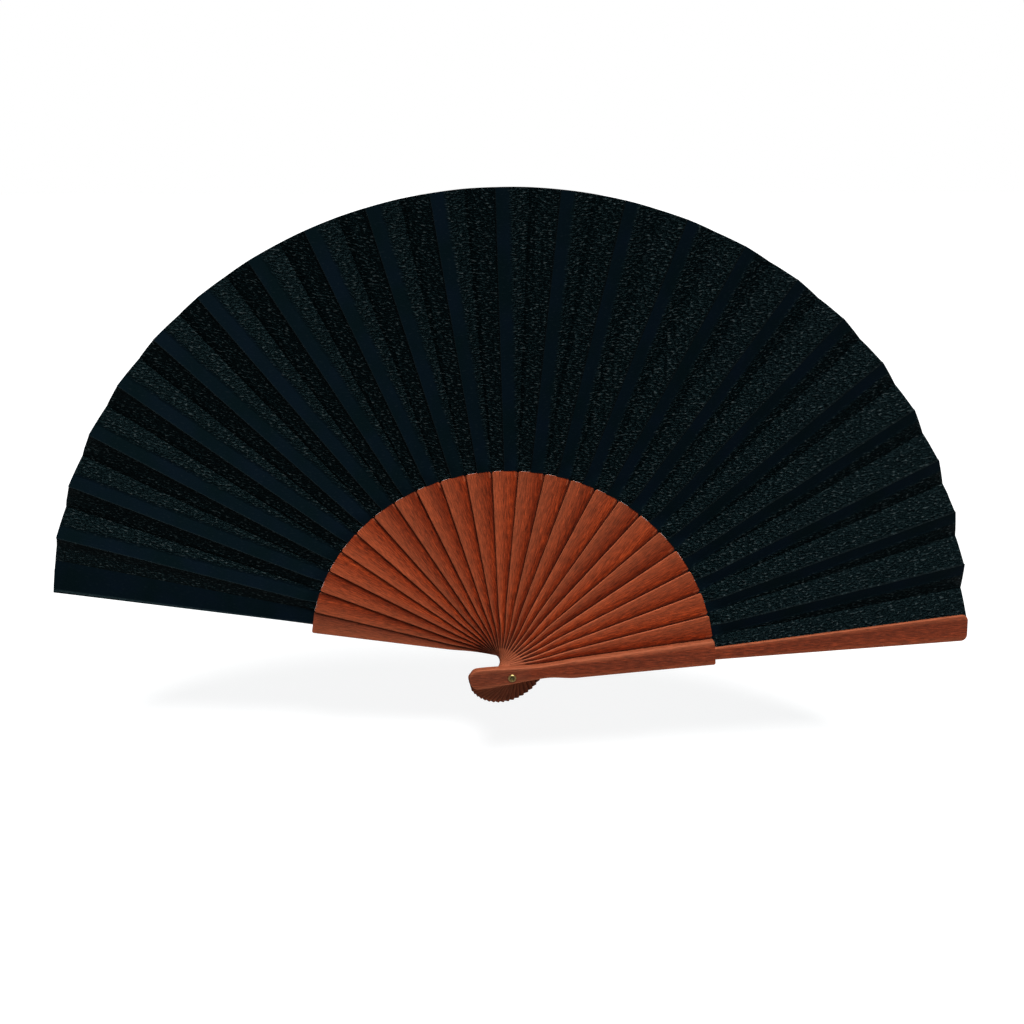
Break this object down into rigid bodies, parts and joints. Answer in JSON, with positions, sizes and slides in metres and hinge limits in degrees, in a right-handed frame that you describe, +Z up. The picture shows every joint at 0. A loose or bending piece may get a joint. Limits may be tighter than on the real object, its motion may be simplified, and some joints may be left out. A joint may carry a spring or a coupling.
{
  "type": "folding hand fan",
  "caption": "Open folding hand fan with reddish wooden sticks, a pleated black cloth leaf and a brass rivet; it closes about the rivet.",
  "frame": {"origin": "on the rivet's axis, halfway through the stack of sticks", "axes": "+X to the fan's right as its front is seen, towards the front guard's side; +Y from the front guard to the rear guard along the rivet; +Z up, from the head towards the middle of the open leaf"},
  "size_m": [0.4128, 0.032, 0.2277],
  "materials": {
    "stick_wood": "thin satin oil over fine straight grain",
    "leaf_cloth": "matte crinkled crepe cloth",
    "rivet_brass": "satin, slightly dull"
  },
  "bodies": {
    "front_guard_body": {"front_guard": "stick_wood", "leaf_00": "leaf_cloth", "rivet_pin": "rivet_brass", "rivet_ring_front": "rivet_brass", "rivet_ring_rear": "rivet_brass"},
    "stick_01_body": {"stick_01": "stick_wood", "leaf_01": "leaf_cloth"},
    "stick_02_body": {"stick_02": "stick_wood", "leaf_02": "leaf_cloth"},
    "stick_03_body": {"stick_03": "stick_wood", "leaf_03": "leaf_cloth"},
    "stick_04_body": {"stick_04": "stick_wood", "leaf_04": "leaf_cloth"},
    "stick_05_body": {"stick_05": "stick_wood", "leaf_05": "leaf_cloth"},
    "stick_06_body": {"stick_06": "stick_wood", "leaf_06": "leaf_cloth"},
    "stick_07_body": {"stick_07": "stick_wood", "leaf_07": "leaf_cloth"},
    "stick_08_body": {"stick_08": "stick_wood", "leaf_08": "leaf_cloth"},
    "stick_09_body": {"stick_09": "stick_wood", "leaf_09": "leaf_cloth"},
    "stick_10_body": {"stick_10": "stick_wood", "leaf_10": "leaf_cloth"},
    "stick_11_body": {"stick_11": "stick_wood", "leaf_11": "leaf_cloth"},
    "stick_12_body": {"stick_12": "stick_wood", "leaf_12": "leaf_cloth"},
    "stick_13_body": {"stick_13": "stick_wood", "leaf_13": "leaf_cloth"},
    "stick_14_body": {"stick_14": "stick_wood", "leaf_14": "leaf_cloth"},
    "stick_15_body": {"stick_15": "stick_wood", "leaf_15": "leaf_cloth"},
    "stick_16_body": {"stick_16": "stick_wood", "leaf_16": "leaf_cloth"},
    "stick_17_body": {"stick_17": "stick_wood", "leaf_17": "leaf_cloth"},
    "stick_18_body": {"stick_18": "stick_wood", "leaf_18": "leaf_cloth"},
    "stick_19_body": {"stick_19": "stick_wood", "leaf_19": "leaf_cloth"},
    "stick_20_body": {"stick_20": "stick_wood", "leaf_20": "leaf_cloth"},
    "stick_21_body": {"stick_21": "stick_wood", "leaf_21": "leaf_cloth"},
    "stick_22_body": {"stick_22": "stick_wood", "leaf_22": "leaf_cloth"},
    "rear_guard_body": {"rear_guard": "stick_wood", "leaf_23": "leaf_cloth"}
  },
  "joints": [
    {"name": "rear_guard_hinge", "type": "hinge", "parent": "front_guard_body", "child": "rear_guard_body", "pos_m": [0, 0, 0], "axis": [0, 1, 0], "range_deg": [0, 163.3], "deforming": ["leaf_22"]},
    {"name": "stick_01_hinge", "type": "hinge", "parent": "front_guard_body", "child": "stick_01_body", "pos_m": [0, 0, 0], "axis": [0, 1, 0], "range_deg": [0, 7.1], "deforming": ["leaf_00"]},
    {"name": "stick_02_hinge", "type": "hinge", "parent": "front_guard_body", "child": "stick_02_body", "pos_m": [0, 0, 0], "axis": [0, 1, 0], "range_deg": [0, 14.2], "deforming": ["leaf_01"]},
    {"name": "stick_03_hinge", "type": "hinge", "parent": "front_guard_body", "child": "stick_03_body", "pos_m": [0, 0, 0], "axis": [0, 1, 0], "range_deg": [0, 21.3], "deforming": ["leaf_02"]},
    {"name": "stick_04_hinge", "type": "hinge", "parent": "front_guard_body", "child": "stick_04_body", "pos_m": [0, 0, 0], "axis": [0, 1, 0], "range_deg": [0, 28.4], "deforming": ["leaf_03"]},
    {"name": "stick_05_hinge", "type": "hinge", "parent": "front_guard_body", "child": "stick_05_body", "pos_m": [0, 0, 0], "axis": [0, 1, 0], "range_deg": [0, 35.5], "deforming": ["leaf_04"]},
    {"name": "stick_06_hinge", "type": "hinge", "parent": "front_guard_body", "child": "stick_06_body", "pos_m": [0, 0, 0], "axis": [0, 1, 0], "range_deg": [0, 42.6], "deforming": ["leaf_05"]},
    {"name": "stick_07_hinge", "type": "hinge", "parent": "front_guard_body", "child": "stick_07_body", "pos_m": [0, 0, 0], "axis": [0, 1, 0], "range_deg": [0, 49.7], "deforming": ["leaf_06"]},
    {"name": "stick_08_hinge", "type": "hinge", "parent": "front_guard_body", "child": "stick_08_body", "pos_m": [0, 0, 0], "axis": [0, 1, 0], "range_deg": [0, 56.8], "deforming": ["leaf_07"]},
    {"name": "stick_09_hinge", "type": "hinge", "parent": "front_guard_body", "child": "stick_09_body", "pos_m": [0, 0, 0], "axis": [0, 1, 0], "range_deg": [0, 63.9], "deforming": ["leaf_08"]},
    {"name": "stick_10_hinge", "type": "hinge", "parent": "front_guard_body", "child": "stick_10_body", "pos_m": [0, 0, 0], "axis": [0, 1, 0], "range_deg": [0, 71], "deforming": ["leaf_09"]},
    {"name": "stick_11_hinge", "type": "hinge", "parent": "front_guard_body", "child": "stick_11_body", "pos_m": [0, 0, 0], "axis": [0, 1, 0], "range_deg": [0, 78.1], "deforming": ["leaf_10"]},
    {"name": "stick_12_hinge", "type": "hinge", "parent": "front_guard_body", "child": "stick_12_body", "pos_m": [0, 0, 0], "axis": [0, 1, 0], "range_deg": [0, 85.2], "deforming": ["leaf_11"]},
    {"name": "stick_13_hinge", "type": "hinge", "parent": "front_guard_body", "child": "stick_13_body", "pos_m": [0, 0, 0], "axis": [0, 1, 0], "range_deg": [0, 92.3], "deforming": ["leaf_12"]},
    {"name": "stick_14_hinge", "type": "hinge", "parent": "front_guard_body", "child": "stick_14_body", "pos_m": [0, 0, 0], "axis": [0, 1, 0], "range_deg": [0, 99.4], "deforming": ["leaf_13"]},
    {"name": "stick_15_hinge", "type": "hinge", "parent": "front_guard_body", "child": "stick_15_body", "pos_m": [0, 0, 0], "axis": [0, 1, 0], "range_deg": [0, 106.5], "deforming": ["leaf_14"]},
    {"name": "stick_16_hinge", "type": "hinge", "parent": "front_guard_body", "child": "stick_16_body", "pos_m": [0, 0, 0], "axis": [0, 1, 0], "range_deg": [0, 113.6], "deforming": ["leaf_15"]},
    {"name": "stick_17_hinge", "type": "hinge", "parent": "front_guard_body", "child": "stick_17_body", "pos_m": [0, 0, 0], "axis": [0, 1, 0], "range_deg": [0, 120.7], "deforming": ["leaf_16"]},
    {"name": "stick_18_hinge", "type": "hinge", "parent": "front_guard_body", "child": "stick_18_body", "pos_m": [0, 0, 0], "axis": [0, 1, 0], "range_deg": [0, 127.8], "deforming": ["leaf_17"]},
    {"name": "stick_19_hinge", "type": "hinge", "parent": "front_guard_body", "child": "stick_19_body", "pos_m": [0, 0, 0], "axis": [0, 1, 0], "range_deg": [0, 134.9], "deforming": ["leaf_18"]},
    {"name": "stick_20_hinge", "type": "hinge", "parent": "front_guard_body", "child": "stick_20_body", "pos_m": [0, 0, 0], "axis": [0, 1, 0], "range_deg": [0, 142], "deforming": ["leaf_19"]},
    {"name": "stick_21_hinge", "type": "hinge", "parent": "front_guard_body", "child": "stick_21_body", "pos_m": [0, 0, 0], "axis": [0, 1, 0], "range_deg": [0, 149.1], "deforming": ["leaf_20"]},
    {"name": "stick_22_hinge", "type": "hinge", "parent": "front_guard_body", "child": "stick_22_body", "pos_m": [0, 0, 0], "axis": [0, 1, 0], "range_deg": [0, 156.2], "deforming": ["leaf_21"]}
  ],
  "couplings": [
    {"joint": "stick_01_hinge", "follows": "rear_guard_hinge", "ratio": 0.043478},
    {"joint": "stick_02_hinge", "follows": "rear_guard_hinge", "ratio": 0.086957},
    {"joint": "stick_03_hinge", "follows": "rear_guard_hinge", "ratio": 0.13043},
    {"joint": "stick_04_hinge", "follows": "rear_guard_hinge", "ratio": 0.17391},
    {"joint": "stick_05_hinge", "follows": "rear_guard_hinge", "ratio": 0.21739},
    {"joint": "stick_06_hinge", "follows": "rear_guard_hinge", "ratio": 0.26087},
    {"joint": "stick_07_hinge", "follows": "rear_guard_hinge", "ratio": 0.30435},
    {"joint": "stick_08_hinge", "follows": "rear_guard_hinge", "ratio": 0.34783},
    {"joint": "stick_09_hinge", "follows": "rear_guard_hinge", "ratio": 0.3913},
    {"joint": "stick_10_hinge", "follows": "rear_guard_hinge", "ratio": 0.43478},
    {"joint": "stick_11_hinge", "follows": "rear_guard_hinge", "ratio": 0.47826},
    {"joint": "stick_12_hinge", "follows": "rear_guard_hinge", "ratio": 0.52174},
    {"joint": "stick_13_hinge", "follows": "rear_guard_hinge", "ratio": 0.56522},
    {"joint": "stick_14_hinge", "follows": "rear_guard_hinge", "ratio": 0.6087},
    {"joint": "stick_15_hinge", "follows": "rear_guard_hinge", "ratio": 0.65217},
    {"joint": "stick_16_hinge", "follows": "rear_guard_hinge", "ratio": 0.69565},
    {"joint": "stick_17_hinge", "follows": "rear_guard_hinge", "ratio": 0.73913},
    {"joint": "stick_18_hinge", "follows": "rear_guard_hinge", "ratio": 0.78261},
    {"joint": "stick_19_hinge", "follows": "rear_guard_hinge", "ratio": 0.82609},
    {"joint": "stick_20_hinge", "follows": "rear_guard_hinge", "ratio": 0.86957},
    {"joint": "stick_21_hinge", "follows": "rear_guard_hinge", "ratio": 0.91304},
    {"joint": "stick_22_hinge", "follows": "rear_guard_hinge", "ratio": 0.95652}
  ]
}
